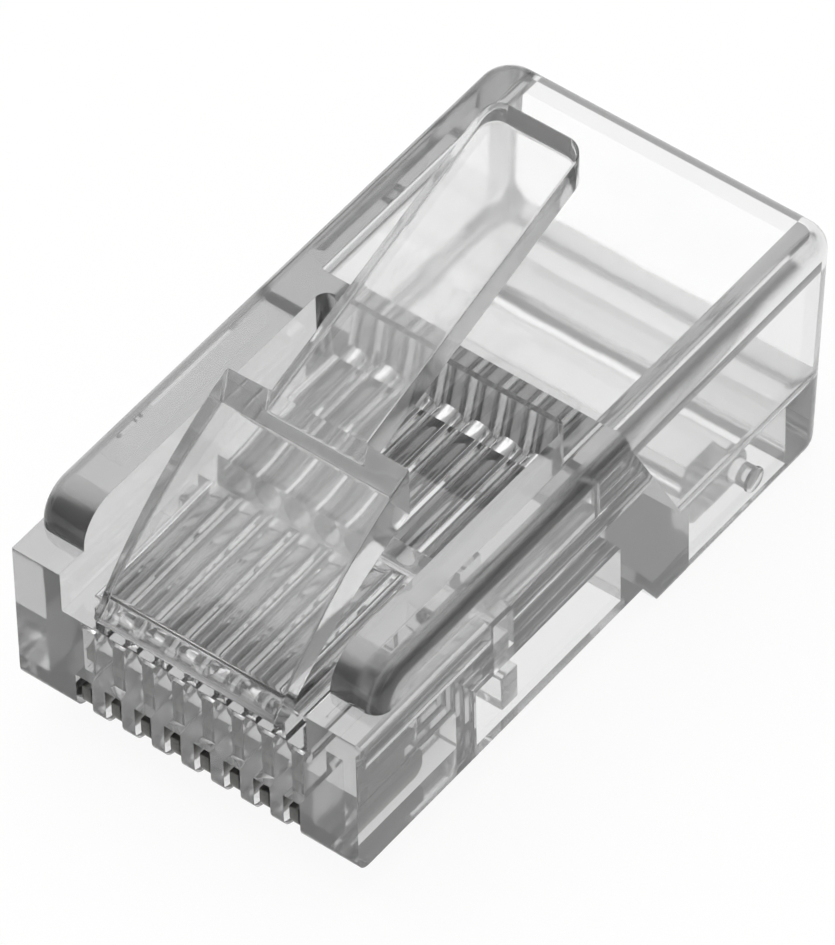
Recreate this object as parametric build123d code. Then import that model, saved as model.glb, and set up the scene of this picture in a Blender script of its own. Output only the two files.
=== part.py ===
import os

from build123d import *

# An eight-way modular plug in clear plastic, latch side up, contact side down.
# Lengths are in millimetres. Each piece is drawn with y counted back from the nose
# and z up from the contact side, and moved into the part's own frame at the end.

# Moulded body
plug_width = 11.68
plug_length = 21.90
front_height = 6.60
nose_drop = 1.30
nose_depth = 1.05
shoulder_radius = 1.20
rear_drop = 1.40
step_start = 12.70
step_run = 0.90
rear_slant = 0.60
rear_corner_radius = 1.00
edge_radius = 0.50
foot_radius = 0.45
wall = 0.75
roof = 0.70
cut_past = 1.00

# Latch recess between the two rails
recess_width = 8.38
recess_floor = 3.85
recess_back_wall = 0.80
recess_corner_radius = 0.40

# Contacts and the slots that guide them
contact_count = 8
contact_pitch = 1.02
blade_thickness = 0.32
blade_setback = 0.08
blade_recess = 0.20
crimped_recess = 0.58
blade_fit = 0.04
head_length = 3.70
head_height = 0.85
head_radius = 0.40
neck_setback = 1.35
neck_length = 1.60
neck_height = 0.85
crown_setback = 0.90
crown_length = 2.50
crown_height = 0.40
tine_count = 3
tine_gap = 0.25
tine_height = 0.36
slot_width = 0.56
slot_end = 5.10

# Wire bores above the contacts
wire_bore = 0.90
wire_level = 3.15
wire_end = 1.15

# Open pocket on the contact side, with the bar that clamps the wires
pocket_start = 5.50
pocket_end = 12.00
pocket_ceiling = 2.15
clamp_start = 6.72
clamp_length = 0.74
clamp_flange_top = 1.50
clamp_side_gap = 0.06
clamp_gap = 0.08
clamp_overlap = 0.15

# Cable cavity with its sloping front wall
cavity_floor = 0.90
ramp_foot = 14.90
ramp_top = 12.40
cavity_corner_radius = 0.60

# Jacket bar in a window of the cavity floor
window_start = 15.30
window_end = 19.80
window_width = 9.40
jacket_side_gap = 0.60
jacket_bar_reach = 2.45
jacket_bar_nose = 0.55
jacket_pivot_back = 1.55
jacket_pivot_rise = 0.75
jacket_heel_radius = 0.62
jacket_pin_radius = 0.36
jacket_pin_seat = 0.30
jacket_pin_gap = 0.04

# Latch
latch_width = 6.20
latch_root_radius = 0.50
latch_root_gap = 0.02
latch_knee_back = 3.20
latch_knee_height = 7.45
shoulder_back = 6.05
shoulder_top = 9.03
shoulder_depth = 1.80
lever_width = 3.26
lever_end = 15.90
lever_end_height = 12.25
lever_thickness = 1.10
lever_corner_radius = 0.60
lever_overlap = 1.20
latch_inner_bow = 0.35


def block(x0, x1, y0, y1, z0, z1):
    """A box given by its faces."""
    middle = ((x0 + x1) / 2, (y0 + y1) / 2, (z0 + z1) / 2)
    return Pos(*middle) * Box(x1 - x0, y1 - y0, z1 - z0)


def across(width, sketch):
    """Draws an outline in the side view and gives it a width about the middle plane."""
    side_view = Plane(origin=(-width / 2, 0, 0), x_dir=(0, 1, 0), z_dir=(1, 0, 0))
    return extrude(side_view * sketch, width)


def at_y(edges, y, tolerance=0.01):
    return edges.filter_by(lambda edge: abs(edge.center().Y - y) < tolerance)


def contact_places():
    """Middle of each contact across the plug."""
    first = -contact_pitch * (contact_count - 1) / 2
    return [first + contact_pitch * number for number in range(contact_count)]


def body_block():
    """The outer form: nose step, rounded shoulder, deeper cable end and slanting rear face."""
    shoulder_start = nose_depth + shoulder_radius
    outline = Polyline(
        (nose_depth, front_height - shoulder_radius),
        (nose_depth, front_height - nose_drop),
        (0, front_height - nose_drop),
        (0, 0),
        (step_start, 0),
        (step_start + step_run, -rear_drop),
        (plug_length - rear_slant, -rear_drop),
        (plug_length, front_height),
        (shoulder_start, front_height),
    )
    shoulder = RadiusArc(
        (shoulder_start, front_height),
        (nose_depth, front_height - shoulder_radius),
        -shoulder_radius,
    )
    body = across(plug_width, make_face(Wire([*outline.edges(), *shoulder.edges()])))
    foot = at_y(body.edges().filter_by(Axis.X), 0).sort_by(Axis.Z)[0]
    body = fillet(foot, foot_radius)
    rear = body.faces().sort_by(Axis.Y)[-1]
    upright = rear.edges().filter_by(lambda edge: abs(edge.tangent_at(0.5).Z) > 0.9)
    body = fillet(upright, rear_corner_radius)
    # The rounding runs on from the rear face along the smooth edges that it meets.
    rear = body.faces().sort_by(Axis.Y)[-1]
    return fillet(rear.edges(), edge_radius)


def latch_recess():
    """Open channel under the latch, from the nose back to the wall in front of the cable cavity."""
    half = recess_width / 2
    back = ramp_top - recess_back_wall
    cut = block(-half, half, -cut_past, back, recess_floor, front_height + cut_past)
    back_corners = at_y(cut.edges().filter_by(Axis.Z), back)
    return fillet(back_corners, recess_corner_radius)


def contact_cuts():
    """Wide slot for the jack's wire, narrow guide for the blade, and the wire bore."""
    cuts = []
    roof_of_slot = crimped_recess + head_height + blade_fit
    guide_half = blade_thickness / 2 + blade_fit
    guide_front = crown_setback - blade_fit
    guide_back = crown_setback + crown_length + blade_fit
    bore_length = ramp_foot - wire_end
    for x in contact_places():
        left = x - slot_width / 2
        slot = block(left, left + slot_width, -cut_past, slot_end, -cut_past, roof_of_slot)
        guide = block(x - guide_half, x + guide_half, guide_front, guide_back, 0, wire_level)
        axis = Plane(origin=(x, wire_end, wire_level), x_dir=(1, 0, 0), z_dir=(0, 1, 0))
        bore = extrude(axis * Circle(wire_bore / 2), bore_length)
        cuts += [slot, guide, bore]
    return cuts


def wire_pocket():
    """Pocket open on the contact side, and the window that the wire clamp rises through."""
    half = plug_width / 2 - wall
    pocket = block(-half, half, pocket_start, pocket_end, -cut_past, pocket_ceiling)
    window_half = clamp_tongue_half() + clamp_gap
    window = block(
        -window_half,
        window_half,
        clamp_start - clamp_gap,
        clamp_start + clamp_length + clamp_gap,
        0,
        wire_level + wire_bore / 2,
    )
    return [pocket, window]


def cable_cavity():
    """Room for the cable jacket, open at the rear and sloping up to the wire bores."""
    ceiling = front_height - roof
    past_rear = plug_length + cut_past
    outline = Polyline(
        (ramp_foot, cavity_floor),
        (past_rear, cavity_floor),
        (past_rear, ceiling),
        (ramp_top, ceiling),
        close=True,
    )
    cavity = across(plug_width - 2 * wall, make_face(outline))
    long_edges = cavity.edges().filter_by(Axis.Y)
    return fillet(long_edges, cavity_corner_radius)


def jacket_window():
    """Window in the cavity floor for the jacket bar, with a blind hole for each pivot pin."""
    half = window_width / 2
    low = -rear_drop - cut_past
    window = block(-half, half, window_start, window_end, low, cavity_floor + cut_past)
    hole_length = window_width + 2 * (jacket_pin_seat + jacket_pin_gap)
    return window + pivot_cylinder(jacket_pin_radius + jacket_pin_gap, hole_length)


def clamp_tongue_half():
    """Half the width of the clamp's upper part, which covers all the wire bores."""
    return contact_pitch * (contact_count - 1) / 2 + wire_bore / 2 + clamp_overlap


def make_housing():
    """Clear moulding with every slot, bore, pocket and cavity cut into it."""
    body = body_block() - latch_recess()
    body -= cable_cavity()
    body -= wire_pocket()
    body -= contact_cuts()
    body -= jacket_window()
    return body


def make_contact(x):
    """Flat blade: contact edge with rounded ends, narrow neck, crown with piercing tines."""
    head_top = blade_recess + head_height
    neck_top = head_top + neck_height
    crown_top = neck_top + crown_height
    head_back = blade_setback + head_length
    crown_back = crown_setback + crown_length
    points = [
        (blade_setback, blade_recess),
        (head_back, blade_recess),
        (head_back, head_top),
        (neck_setback + neck_length, head_top),
        (neck_setback + neck_length, neck_top),
        (crown_back, neck_top),
        (crown_back, crown_top),
    ]
    pitch = (crown_length + tine_gap) / tine_count
    for number in range(tine_count):
        back = crown_back - pitch * number
        front = back - pitch + tine_gap
        points += [((back + front) / 2, crown_top + tine_height), (front, crown_top)]
        if number < tine_count - 1:
            points.append((front - tine_gap, crown_top))
    points += [
        (crown_setback, neck_top),
        (neck_setback, neck_top),
        (neck_setback, head_top),
        (blade_setback, head_top),
    ]
    blade = across(blade_thickness, make_face(Polyline(*points, close=True)))
    low_corners = blade.edges().filter_by(Axis.X).group_by(Axis.Z)[0]
    return Pos(x, 0, 0) * fillet(low_corners, head_radius)


def make_wire_clamp():
    """Cross bar that the crimping die drives up against the wires."""
    flange_half = plug_width / 2 - wall - clamp_side_gap
    tongue_half = clamp_tongue_half()
    end = clamp_start + clamp_length
    tongue_top = wire_level - wire_bore / 2
    flange = block(-flange_half, flange_half, clamp_start, end, blade_recess, clamp_flange_top)
    tongue = block(-tongue_half, tongue_half, clamp_start, end, clamp_flange_top, tongue_top)
    return flange + tongue


def jacket_pivot():
    """Pivot of the jacket bar, y and z."""
    return (window_end - jacket_pivot_back, -rear_drop + jacket_pivot_rise)


def pivot_cylinder(radius, length):
    """A cylinder along the jacket bar's pivot line."""
    pivot_y, pivot_z = jacket_pivot()
    return Pos(0, pivot_y, pivot_z) * Rot(0, 90, 0) * Cylinder(radius, length)


def make_jacket_bar():
    """Wedge that swings up into the cavity to grip the cable jacket."""
    pivot_y, pivot_z = jacket_pivot()
    front = pivot_y - jacket_bar_reach
    outline = Polyline(
        (pivot_y, pivot_z - jacket_heel_radius),
        (front + jacket_bar_nose, pivot_z - jacket_heel_radius),
        (front, pivot_z),
        (front + jacket_bar_nose, cavity_floor),
        (pivot_y - jacket_heel_radius, cavity_floor),
        (pivot_y, pivot_z + jacket_heel_radius),
    )
    heel = ThreePointArc(
        (pivot_y, pivot_z + jacket_heel_radius),
        (pivot_y + jacket_heel_radius, pivot_z),
        (pivot_y, pivot_z - jacket_heel_radius),
    )
    bar_width = window_width - 2 * jacket_side_gap
    bar = across(bar_width, make_face(Wire([*outline.edges(), *heel.edges()])))
    return bar + pivot_cylinder(jacket_pin_radius, window_width + 2 * jacket_pin_seat)


def latch_hinge():
    """Middle of the latch's root, y and z."""
    return (latch_root_radius, recess_floor + latch_root_gap + latch_root_radius)


def lever_top(y):
    """Height of the lever's top face, on the line from the shoulders to its end."""
    rise = (lever_end_height - shoulder_top) / (lever_end - shoulder_back)
    return shoulder_top + rise * (y - shoulder_back)


def make_latch():
    """Sprung latch: rounded root, curved wide plate with shoulders, narrow thumb lever."""
    hinge_y, hinge_z = latch_hinge()
    front = (hinge_y - latch_root_radius, hinge_z)
    back = (hinge_y + latch_root_radius, hinge_z)
    under = (shoulder_back, shoulder_top - shoulder_depth)
    knee = (latch_knee_back, latch_knee_height)
    outer = ThreePointArc(front, knee, (shoulder_back, shoulder_top))
    catch = Line((shoulder_back, shoulder_top), under)
    middle_y = (back[0] + under[0]) / 2
    middle_z = (back[1] + under[1]) / 2 + latch_inner_bow
    inner = ThreePointArc(under, (middle_y, middle_z), back)
    root = ThreePointArc(back, (hinge_y, hinge_z - latch_root_radius), front)
    edges = [*outer.edges(), *catch.edges(), *inner.edges(), *root.edges()]
    plate = across(latch_width, make_face(Wire(edges)))
    start = shoulder_back - lever_overlap
    lever_outline = Polyline(
        (start, lever_top(start) - lever_thickness / 2),
        (shoulder_back, shoulder_top),
        (lever_end, lever_end_height),
        (lever_end, lever_end_height - lever_thickness),
        (start, lever_top(start) - lever_thickness),
        close=True,
    )
    lever = across(lever_width, make_face(lever_outline))
    end_edges = lever.edges().filter_by(
        lambda edge: abs(edge.center().Y - lever_end) < 0.01 and abs(edge.tangent_at(0.5).Z) > 0.9
    )
    lever = fillet(end_edges, lever_corner_radius)
    return plate + lever


def build_all():
    """All the pieces, moved to the frame in the middle of the housing's length, at its foot."""
    pieces = {"housing": make_housing(), "latch": make_latch()}
    pieces["wire_clamp"] = make_wire_clamp()
    pieces["jacket_bar"] = make_jacket_bar()
    for number, x in enumerate(contact_places(), start=1):
        pieces[f"contact_{number}"] = make_contact(x)
    place = Pos(0, -pieces["housing"].bounding_box().center().Y, rear_drop)
    return {name: place * shape for name, shape in pieces.items()}


os.makedirs("parts", exist_ok=True)
for name, shape in build_all().items():
    export_step(shape, f"parts/{name}.step")
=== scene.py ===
from math import cos, pi, radians, sin

import bmesh
import bpy
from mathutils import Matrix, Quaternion, Vector
from mathutils.bvhtree import BVHTree


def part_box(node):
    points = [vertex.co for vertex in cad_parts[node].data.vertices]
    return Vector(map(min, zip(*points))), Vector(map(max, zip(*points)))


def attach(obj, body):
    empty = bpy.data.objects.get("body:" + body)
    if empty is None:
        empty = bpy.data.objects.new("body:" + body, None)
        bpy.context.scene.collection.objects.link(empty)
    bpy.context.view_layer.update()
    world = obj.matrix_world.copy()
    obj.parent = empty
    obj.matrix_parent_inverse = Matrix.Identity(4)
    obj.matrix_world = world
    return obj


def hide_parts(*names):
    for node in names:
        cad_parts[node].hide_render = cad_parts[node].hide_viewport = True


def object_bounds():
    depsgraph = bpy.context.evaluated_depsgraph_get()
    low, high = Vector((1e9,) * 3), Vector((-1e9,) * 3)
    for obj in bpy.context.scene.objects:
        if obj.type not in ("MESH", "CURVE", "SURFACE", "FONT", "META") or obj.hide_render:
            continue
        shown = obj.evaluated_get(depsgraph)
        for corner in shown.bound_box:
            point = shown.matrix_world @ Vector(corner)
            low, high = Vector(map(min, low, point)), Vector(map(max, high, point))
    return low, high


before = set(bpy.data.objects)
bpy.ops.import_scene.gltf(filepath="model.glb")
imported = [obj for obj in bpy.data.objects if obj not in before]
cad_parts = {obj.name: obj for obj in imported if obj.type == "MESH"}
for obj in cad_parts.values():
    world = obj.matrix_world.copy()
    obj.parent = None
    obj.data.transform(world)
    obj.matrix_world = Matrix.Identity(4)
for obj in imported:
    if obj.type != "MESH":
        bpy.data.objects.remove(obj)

cad_low, cad_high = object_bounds()
scene = bpy.context.scene
MM = 0.001

# Housing
# The real body is one injection moulding in clear polycarbonate, shot into a polished steel mould.
# Pins and blades core its slots and bores and leave them duller, and the mould's rounded edges keep
# a satin finish, because only its flat walls are polished.
MOULD_EDGE = 0.07 * MM
EDGE_STEPS = 2
SHARP_EDGE = radians(30)
LEAST_BEND = radians(0.5)
SAME_PLANE = radians(0.3)
SLANTED = 0.999
WELD = 0.0005 * MM
STAND_OFF = 0.002 * MM
NARROW = 2.0 * MM
POLYCARBONATE_IOR = 1.585
CLARITY = 0.96
CLEAR_TINT = ("#FAFAFA", "#FFFFFF")
ABSORPTION_COLOUR = "#F5F5F5"
ABSORPTION_DENSITY = 1150.0
FLOW_RIPPLE = 2.4 * MM
RIPPLE_DEPTH = 0.1 * MM
RIPPLE_STRENGTH = 0.10
HAZE_GRAIN = 0.18 * MM
POLISHED = (0.03, 0.08)
CORED = (0.04, 0.09)
SATIN = (0.17, 0.25)


def linear(hex_colour):
    """An sRGB hex colour as linear values, with full alpha."""
    parts = [int(hex_colour[place : place + 2], 16) / 255 for place in (1, 3, 5)]
    values = [p / 12.92 if p <= 0.04045 else ((p + 0.055) / 1.055) ** 2.4 for p in parts]
    return (*values, 1.0)


def add_node(tree, kind, settings=None, links=None, **sockets):
    """Adds a node with its settings, its socket values and the links into it."""
    node = tree.nodes.new(kind)
    for name, value in (settings or {}).items():
        setattr(node, name, value)
    for name, value in sockets.items():
        node.inputs[name.replace("_", " ")].default_value = value
    for name, output in (links or {}).items():
        tree.links.new(output, node.inputs[name])
    return node


def new_finish(name):
    """An empty material with its output node, and the piece's own coordinates."""
    finish = bpy.data.materials.new(name)
    finish.use_nodes = True
    tree = finish.node_tree
    tree.nodes.clear()
    output = add_node(tree, "ShaderNodeOutputMaterial")
    place = add_node(tree, "ShaderNodeTexCoord").outputs["Object"]
    return finish, tree, output, place


def grain(tree, place, size, detail):
    """A noise pattern of the given grain size."""
    noise = add_node(
        tree, "ShaderNodeTexNoise", links={"Vector": place}, Scale=1 / size, Detail=detail
    )
    return noise.outputs["Fac"]


def two_tone(tree, factor, tones):
    """A colour that goes from one tone to the other with the factor."""
    mix = add_node(tree, "ShaderNodeMix", {"data_type": "RGBA"}, {"Factor": factor})
    mix.inputs[6].default_value = linear(tones[0])
    mix.inputs[7].default_value = linear(tones[1])
    return mix.outputs[2]


def between(tree, factor, limits):
    """A value that goes from one limit to the other with the factor."""
    spread = add_node(
        tree, "ShaderNodeMapRange", links={"Value": factor}, To_Min=limits[0], To_Max=limits[1]
    )
    return spread.outputs["Result"]


def clear_polycarbonate(name, rough):
    """Clear moulded polycarbonate: glassy, greyer where it is thick, with faint ripples and haze."""
    finish, tree, output, place = new_finish(name)
    flow = grain(tree, place, FLOW_RIPPLE, 1.0)
    haze = grain(tree, place, HAZE_GRAIN, 2.0)
    bump = add_node(
        tree,
        "ShaderNodeBump",
        links={"Height": flow},
        Strength=RIPPLE_STRENGTH,
        Distance=RIPPLE_DEPTH,
    )
    shader = add_node(
        tree,
        "ShaderNodeBsdfPrincipled",
        links={
            "Base Color": two_tone(tree, flow, CLEAR_TINT),
            "Roughness": between(tree, haze, rough),
            "Normal": bump.outputs["Normal"],
        },
        IOR=POLYCARBONATE_IOR,
        Transmission_Weight=CLARITY,
    )
    body = add_node(tree, "ShaderNodeVolumeAbsorption", Density=ABSORPTION_DENSITY)
    body.inputs["Color"].default_value = linear(ABSORPTION_COLOUR)
    tree.links.new(shader.outputs["BSDF"], output.inputs["Surface"])
    tree.links.new(body.outputs["Volume"], output.inputs["Volume"])
    return finish


def narrow_faces(surface):
    """Numbers of the faces that look across a narrow gap at another face of the same piece."""
    surface.faces.index_update()
    tree = BVHTree.FromBMesh(surface)
    found = set()
    for face in surface.faces:
        start = face.calc_center_median() + face.normal * STAND_OFF
        if tree.ray_cast(start, face.normal, NARROW)[0]:
            found.add(face.index)
    return found


def is_rounded(face):
    """Whether a face is a strip of a rounded edge: it slants and bends gently into a neighbour."""
    slants = max(abs(part) for part in face.normal) < SLANTED
    return slants and any(
        LEAST_BEND < edge.calc_face_angle(0.0) < SHARP_EDGE for edge in face.edges
    )


def round_sharp_edges(piece, radius):
    """A bevel on every sharp edge of the piece."""
    bevel = piece.modifiers.new("edge", "BEVEL")
    bevel.width = radius
    bevel.segments = EDGE_STEPS
    bevel.limit_method = "ANGLE"
    bevel.angle_limit = SHARP_EDGE
    return bevel


def finished_mesh(source, name):
    """The mesh that the source's modifiers make. The source object goes."""
    evaluated = source.evaluated_get(bpy.context.evaluated_depsgraph_get())
    mesh = bpy.data.meshes.new_from_object(evaluated)
    bpy.data.objects.remove(source)
    mesh.name = name
    return mesh


def soften_piece(node, name, finishes, edge):
    """A moulded piece: the CAD piece's surface, merged, with its sharp edges rounded.

    Finishes are those of the polished faces, the narrow ones and the rounded edges, or one for all.
    """
    source = bpy.data.objects.new(name + "_source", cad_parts[node].data.copy())
    scene.collection.objects.link(source)
    surface = bmesh.new()
    surface.from_mesh(source.data)
    bmesh.ops.remove_doubles(surface, verts=surface.verts, dist=WELD)
    bmesh.ops.dissolve_limit(
        surface, angle_limit=SAME_PLANE, verts=surface.verts, edges=surface.edges
    )
    surface.normal_update()
    narrow = narrow_faces(surface)
    for face in surface.faces:
        kind = 1 if face.index in narrow else 2 if is_rounded(face) else 0
        face.material_index = min(kind, len(finishes) - 1)
    source.data.materials.clear()
    for finish in finishes:
        source.data.materials.append(finish)
    surface.to_mesh(source.data)
    surface.free()
    source.data.shade_smooth()
    round_sharp_edges(source, edge).miter_outer = "MITER_ARC"
    weighted = source.modifiers.new("normals", "WEIGHTED_NORMAL")
    weighted.keep_sharp = True
    piece = bpy.data.objects.new(name, finished_mesh(source, name))
    scene.collection.objects.link(piece)
    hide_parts(node)
    return piece


polished_clear = clear_polycarbonate("polished_clear_polycarbonate", POLISHED)
cored_clear = clear_polycarbonate("cored_clear_polycarbonate", CORED)
satin_clear = clear_polycarbonate("satin_clear_polycarbonate", SATIN)
housing = soften_piece(
    "housing", "moulded_housing", [polished_clear, cored_clear, satin_clear], MOULD_EDGE
)
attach(housing, "housing")

# Latch
# The latch is part of the same moulding, a springy tongue that bends at its root in the nose.
# Its two shoulders catch in the jack, and its lever is pressed to let the plug out.
LATCH_EDGE = 0.14 * MM
latch = soften_piece("latch", "sprung_latch", [polished_clear], LATCH_EDGE)
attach(latch, "latch")

# Wire clamp and jacket bar
# Both are clear bars moulded into the body on thin webs, which the crimping tool pushes in.
# One holds the wires from the contact side, and the other holds the cable's jacket.
for bar, name in (("wire_clamp", "wire_clamp_bar"), ("jacket_bar", "jacket_grip_bar")):
    piece = soften_piece(bar, name, [polished_clear], MOULD_EDGE)
    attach(piece, bar)

# Contacts
# Eight blades stamped from thin phosphor bronze strip and plated with nickel.
# Each has a rounded edge for the jack's wires, and three lances that pierce the cable's wires.
CONTACT_COUNT = 8
BLADE_EDGE = 0.03 * MM
HEAD_HEIGHT = 0.85 * MM
HEAD_RADIUS = 0.40 * MM
HEAD_ROUNDING_STEPS = 5
NECK_SETBACK = 1.27 * MM
NECK_LENGTH = 1.60 * MM
CROWN_SETBACK = 0.82 * MM
CROWN_LENGTH = 2.50 * MM
CROWN_HEIGHT = 0.40 * MM
LANCE_COUNT = 3
LANCE_HEIGHT = 0.36 * MM
LANCE_GAP = 0.25 * MM
# The two nickel tones are darkened far below real nickel as painted shade. Their spread along the rolling
# marks is the metal's real grain.
PAINTED_SHADE_NICKEL = ("#3C3C3A", "#6E6E6B")
NICKEL_ROUGHNESS = (0.22, 0.42)
ROLLING_MARK = 0.08 * MM
ROLLING_STRETCH = (1.0, 0.15, 1.0)
# A lighter colour in a band along each blade's low rounded edge, fading out above it, is a painted
# highlight.
PAINTED_HIGHLIGHT_TONE = "#8C8B87"
PAINTED_HIGHLIGHT_BAND = (0.10 * MM, 0.30 * MM)


def plated_bronze(edge_level):
    """Phosphor bronze with nickel plating: satin, with fine rolling marks. Its tones are darkened as
    painted shade, and a lighter band at the low edge is a painted highlight.
    """
    finish, tree, output, place = new_finish("nickel_plated_bronze")
    rolled = add_node(tree, "ShaderNodeMapping", links={"Vector": place}, Scale=ROLLING_STRETCH)
    marks = grain(tree, rolled.outputs["Vector"], ROLLING_MARK, 3.0)
    height = add_node(tree, "ShaderNodeSeparateXYZ", links={"Vector": place}).outputs["Z"]
    # Painted highlight mask: 1 at the blade's low edge, fading to 0 a little above it.
    painted_highlight_mask = add_node(
        tree,
        "ShaderNodeMapRange",
        links={"Value": height},
        From_Min=edge_level + PAINTED_HIGHLIGHT_BAND[0],
        From_Max=edge_level + PAINTED_HIGHLIGHT_BAND[1],
        To_Min=1.0,
        To_Max=0.0,
    )
    # The shade-darkened nickel tones give way to the painted highlight colour near the low edge.
    colour = add_node(
        tree, "ShaderNodeMix", {"data_type": "RGBA"}, {"Factor": painted_highlight_mask.outputs["Result"]}
    )
    tree.links.new(two_tone(tree, marks, PAINTED_SHADE_NICKEL), colour.inputs[6])
    colour.inputs[7].default_value = linear(PAINTED_HIGHLIGHT_TONE)
    shader = add_node(
        tree,
        "ShaderNodeBsdfPrincipled",
        links={
            "Base Color": colour.outputs[2],
            "Roughness": between(tree, marks, NICKEL_ROUGHNESS),
        },
        Metallic=1.0,
    )
    tree.links.new(shader.outputs["BSDF"], output.inputs["Surface"])
    return finish


def blade_outline(low, high):
    """Side view of a blade without its lances: y and z of each corner, the low corners rounded."""
    crown_top = high.z - LANCE_HEIGHT
    crown_low = crown_top - CROWN_HEIGHT
    head_top = low.z + HEAD_HEIGHT
    points = []
    for middle_y, first in ((low.y + HEAD_RADIUS, pi), (high.y - HEAD_RADIUS, 1.5 * pi)):
        for step in range(HEAD_ROUNDING_STEPS + 1):
            angle = first + 0.5 * pi * step / HEAD_ROUNDING_STEPS
            y = middle_y + HEAD_RADIUS * cos(angle)
            z = low.z + HEAD_RADIUS * (1 + sin(angle))
            points.append((y, z))
    neck_front = low.y + NECK_SETBACK
    neck_back = neck_front + NECK_LENGTH
    crown_front = low.y + CROWN_SETBACK
    crown_back = crown_front + CROWN_LENGTH
    points += [(high.y, head_top), (neck_back, head_top), (neck_back, crown_low)]
    points += [(crown_back, crown_low), (crown_back, crown_top), (crown_front, crown_top)]
    points += [(crown_front, crown_low), (neck_front, crown_low), (neck_front, head_top)]
    points.append((low.y, head_top))
    return points


def blade_tree(finish):
    """Geometry nodes: extrude the stamped outline, and stand a row of lances on it."""
    tree = bpy.data.node_groups.new("stamped_blade", "GeometryNodeTree")
    face = tree.interface
    face.new_socket("Geometry", in_out="INPUT", socket_type="NodeSocketGeometry")
    face.new_socket("Thickness", in_out="INPUT", socket_type="NodeSocketFloat")
    face.new_socket("First Lance", in_out="INPUT", socket_type="NodeSocketVector")
    face.new_socket("Lance Count", in_out="INPUT", socket_type="NodeSocketInt")
    face.new_socket("Lance Pitch", in_out="INPUT", socket_type="NodeSocketFloat")
    face.new_socket("Lance Length", in_out="INPUT", socket_type="NodeSocketFloat")
    face.new_socket("Lance Height", in_out="INPUT", socket_type="NodeSocketFloat")
    face.new_socket("Geometry", in_out="OUTPUT", socket_type="NodeSocketGeometry")
    given = add_node(tree, "NodeGroupInput").outputs
    sideways = add_node(tree, "ShaderNodeCombineXYZ", links={"X": given["Thickness"]})
    body = add_node(
        tree,
        "GeometryNodeExtrudeMesh",
        links={"Mesh": given["Geometry"], "Offset": sideways.outputs["Vector"]},
        Individual=False,
    )
    turned = add_node(tree, "GeometryNodeFlipFaces", links={"Mesh": given["Geometry"]})
    step = add_node(tree, "ShaderNodeCombineXYZ", links={"Y": given["Lance Pitch"]})
    row = add_node(
        tree,
        "GeometryNodeMeshLine",
        links={
            "Count": given["Lance Count"],
            "Start Location": given["First Lance"],
            "Offset": step.outputs["Vector"],
        },
    )
    lance = add_node(tree, "GeometryNodeMeshCone", Vertices=4)
    lance.inputs["Radius Bottom"].default_value = 0.5**0.5
    lance.inputs["Depth"].default_value = 1.0
    squared = add_node(tree, "GeometryNodeTransform", links={"Geometry": lance.outputs["Mesh"]})
    squared.inputs["Rotation"].default_value = (0, 0, pi / 4)
    size = add_node(
        tree,
        "ShaderNodeCombineXYZ",
        links={"X": given["Thickness"], "Y": given["Lance Length"], "Z": given["Lance Height"]},
    )
    stood = add_node(
        tree,
        "GeometryNodeInstanceOnPoints",
        links={
            "Points": row.outputs["Mesh"],
            "Instance": squared.outputs["Geometry"],
            "Scale": size.outputs["Vector"],
        },
    )
    joined = add_node(tree, "GeometryNodeJoinGeometry")
    for part in (stood.outputs["Instances"], turned.outputs["Mesh"], body.outputs["Mesh"]):
        tree.links.new(part, joined.inputs["Geometry"])
    whole = add_node(
        tree, "GeometryNodeRealizeInstances", links={"Geometry": joined.outputs["Geometry"]}
    )
    welded = add_node(
        tree, "GeometryNodeMergeByDistance", links={"Geometry": whole.outputs["Geometry"]}
    )
    welded.inputs["Distance"].default_value = WELD
    dressed = add_node(
        tree, "GeometryNodeSetMaterial", links={"Geometry": welded.outputs["Geometry"]}
    )
    dressed.inputs["Material"].default_value = finish
    result = add_node(tree, "NodeGroupOutput")
    tree.links.new(dressed.outputs["Geometry"], result.inputs["Geometry"])
    return tree


def stamp_blade(number, stamped_blade):
    """One blade: its outline stands at its low x side and goes through the geometry nodes tree."""
    low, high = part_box(f"contact_{number}")
    flank = bmesh.new()
    flank.faces.new([flank.verts.new((low.x, y, z)) for y, z in blade_outline(low, high)])
    flank_mesh = bpy.data.meshes.new(f"blade_outline_{number}")
    flank.to_mesh(flank_mesh)
    flank.free()
    blank = bpy.data.objects.new(f"blade_outline_{number}", flank_mesh)
    scene.collection.objects.link(blank)
    lance_pitch = (CROWN_LENGTH + LANCE_GAP) / LANCE_COUNT
    lance_length = lance_pitch - LANCE_GAP
    first_lance = (
        (low.x + high.x) / 2,
        low.y + CROWN_SETBACK + lance_length / 2,
        high.z - LANCE_HEIGHT,
    )
    sizes = {
        "Thickness": high.x - low.x,
        "First Lance": first_lance,
        "Lance Count": LANCE_COUNT,
        "Lance Pitch": lance_pitch,
        "Lance Length": lance_length,
        "Lance Height": LANCE_HEIGHT,
    }
    nodes = blank.modifiers.new("blade", "NODES")
    nodes.node_group = stamped_blade
    for socket in stamped_blade.interface.items_tree:
        if socket.in_out == "INPUT" and socket.name in sizes:
            nodes[socket.identifier] = sizes[socket.name]
    round_sharp_edges(blank, BLADE_EDGE)
    mesh = finished_mesh(blank, f"contact_blade_{number}")
    mesh.shade_smooth()
    blade = bpy.data.objects.new(f"contact_blade_{number}", mesh)
    scene.collection.objects.link(blade)
    return blade


stamped_blade = blade_tree(plated_bronze(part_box("contact_1")[0].z))
for number in range(1, CONTACT_COUNT + 1):
    blade = stamp_blade(number, stamped_blade)
    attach(blade, f"contact_{number}")
    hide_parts(f"contact_{number}")

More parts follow.
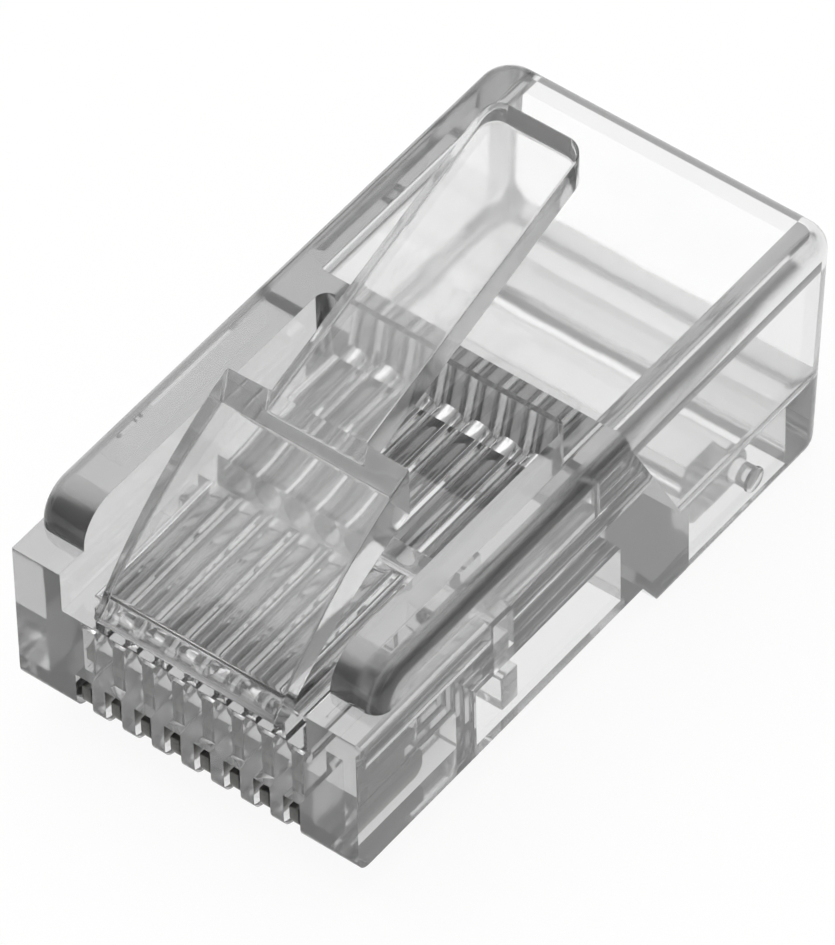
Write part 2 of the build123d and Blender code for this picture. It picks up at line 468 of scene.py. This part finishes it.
# Studio
# A white floor under one large overhead softbox. The surround is pale above and dim at the horizon.
# What looks at the floor straight or through clear plastic sees it mostly as plain white card.
FLOOR_SIZE = 6.0
FLOOR_GAP = 0.01 * MM
FLOOR_PALE = ("#F6F6F5", "#FBFBFA")
FLOOR_FIBRE = 4 * MM
FLOOR_ROUGHNESS = 0.9
FLOOR_WHITE = 0.92
SOFTBOX_SIZE = 0.60
SOFTBOX_PLACE = Vector((-0.12, 0.05, 0.45))
SOFTBOX_POWER = 1.3
SURROUND_DIM = 0.02
SURROUND_BRIGHT = 0.88
BRIGHT_SIDE = Vector((-0.15, 0.1, 1.0)).normalized()
DIM_FROM = -0.5


def floor_card():
    """Matt white card, lit by the softbox. Seen straight or through plastic, it is mostly plain white."""
    finish, tree, output, place = new_finish("matt_white_card")
    fibre = grain(tree, place, FLOOR_FIBRE, 4.0)
    lit = add_node(
        tree,
        "ShaderNodeBsdfPrincipled",
        links={"Base Color": two_tone(tree, fibre, FLOOR_PALE)},
        Roughness=FLOOR_ROUGHNESS,
    )
    white = add_node(tree, "ShaderNodeEmission", Strength=1.0)
    ray = add_node(tree, "ShaderNodeLightPath").outputs
    seen = ray["Is Camera Ray"]
    for kind in ("Is Glossy Ray", "Is Transmission Ray"):
        either = add_node(tree, "ShaderNodeMath", {"operation": "MAXIMUM"})
        tree.links.new(seen, either.inputs[0])
        tree.links.new(ray[kind], either.inputs[1])
        seen = either.outputs[0]
    share = add_node(tree, "ShaderNodeMath", {"operation": "MULTIPLY"})
    tree.links.new(seen, share.inputs[0])
    share.inputs[1].default_value = FLOOR_WHITE
    card = add_node(tree, "ShaderNodeMixShader", links={"Fac": share.outputs[0]})
    tree.links.new(lit.outputs["BSDF"], card.inputs[1])
    tree.links.new(white.outputs["Emission"], card.inputs[2])
    tree.links.new(card.outputs["Shader"], output.inputs["Surface"])
    return finish


bpy.ops.mesh.primitive_plane_add(size=FLOOR_SIZE, location=(0, 0, cad_low.z - FLOOR_GAP))
floor = bpy.context.object
floor.name = "floor"
floor.data.materials.append(floor_card())

softbox = bpy.data.lights.new("softbox", "AREA")
softbox.size = SOFTBOX_SIZE
softbox.energy = SOFTBOX_POWER
softbox_stand = bpy.data.objects.new("softbox", softbox)
softbox_stand.location = SOFTBOX_PLACE
softbox_stand.rotation_euler = (-SOFTBOX_PLACE).to_track_quat("-Z", "Y").to_euler()
scene.collection.objects.link(softbox_stand)

world = bpy.data.worlds.new("surround")
scene.world = world
world.use_nodes = True
sky = world.node_tree
direction = add_node(sky, "ShaderNodeTexCoord").outputs["Generated"]
side = add_node(sky, "ShaderNodeVectorMath", {"operation": "DOT_PRODUCT"})
sky.links.new(direction, side.inputs[0])
side.inputs[1].default_value = BRIGHT_SIDE
level = add_node(
    sky,
    "ShaderNodeMapRange",
    links={"Value": side.outputs["Value"]},
    From_Min=DIM_FROM,
    To_Min=SURROUND_DIM,
    To_Max=SURROUND_BRIGHT,
)
background = sky.nodes["Background"]
background.inputs["Color"].default_value = (1, 1, 1, 1)
sky.links.new(level.outputs["Result"], background.inputs["Strength"])

# Camera
# Looks down on the nose and the right side, as the photograph does.
# One point of the plug, the pivot, is set on one pixel of the picture.
PICTURE = (835, 945)
CAMERA_AZIMUTH = radians(38.6)
CAMERA_ELEVATION = radians(48)
CAMERA_ROLL = radians(-1.4)
CAMERA_DISTANCE = 280 * MM
PIXELS_PER_MM = 36.6
PIVOT = Vector((0, -0.94 * MM, 4.4 * MM))
PIVOT_PIXEL = (412, 480)
SENSOR_WIDTH = 36
NEAREST = 0.01
FARTHEST = 10
PLASTIC_BOUNCES = 24
GLOSSY_BOUNCES = 12

back = Vector(
    (
        sin(CAMERA_AZIMUTH) * cos(CAMERA_ELEVATION),
        -cos(CAMERA_AZIMUTH) * cos(CAMERA_ELEVATION),
        sin(CAMERA_ELEVATION),
    )
)
turn = (-back).to_track_quat("-Z", "Y") @ Quaternion((0, 0, 1), CAMERA_ROLL)
right = turn @ Vector((1, 0, 0))
up = turn @ Vector((0, 1, 0))
pixel = MM / PIXELS_PER_MM
aside = right * pixel * (PICTURE[0] / 2 - PIVOT_PIXEL[0])
above = up * pixel * (PIVOT_PIXEL[1] - PICTURE[1] / 2)
aim = PIVOT + aside + above
lens = bpy.data.cameras.new("camera")
lens.sensor_width = SENSOR_WIDTH
lens.lens = PIXELS_PER_MM * CAMERA_DISTANCE / MM * SENSOR_WIDTH / max(PICTURE)
lens.clip_start = NEAREST
lens.clip_end = FARTHEST
camera = bpy.data.objects.new("camera", lens)
camera.location = aim + back * CAMERA_DISTANCE
camera.rotation_mode = "QUATERNION"
camera.rotation_quaternion = turn
scene.collection.objects.link(camera)
scene.camera = camera
scene.view_settings.view_transform = "Standard"
# Light crosses many faces of the clear moulding before it reaches the floor behind.
scene.cycles.max_bounces = PLASTIC_BOUNCES
scene.cycles.transmission_bounces = PLASTIC_BOUNCES
scene.cycles.glossy_bounces = GLOSSY_BOUNCES
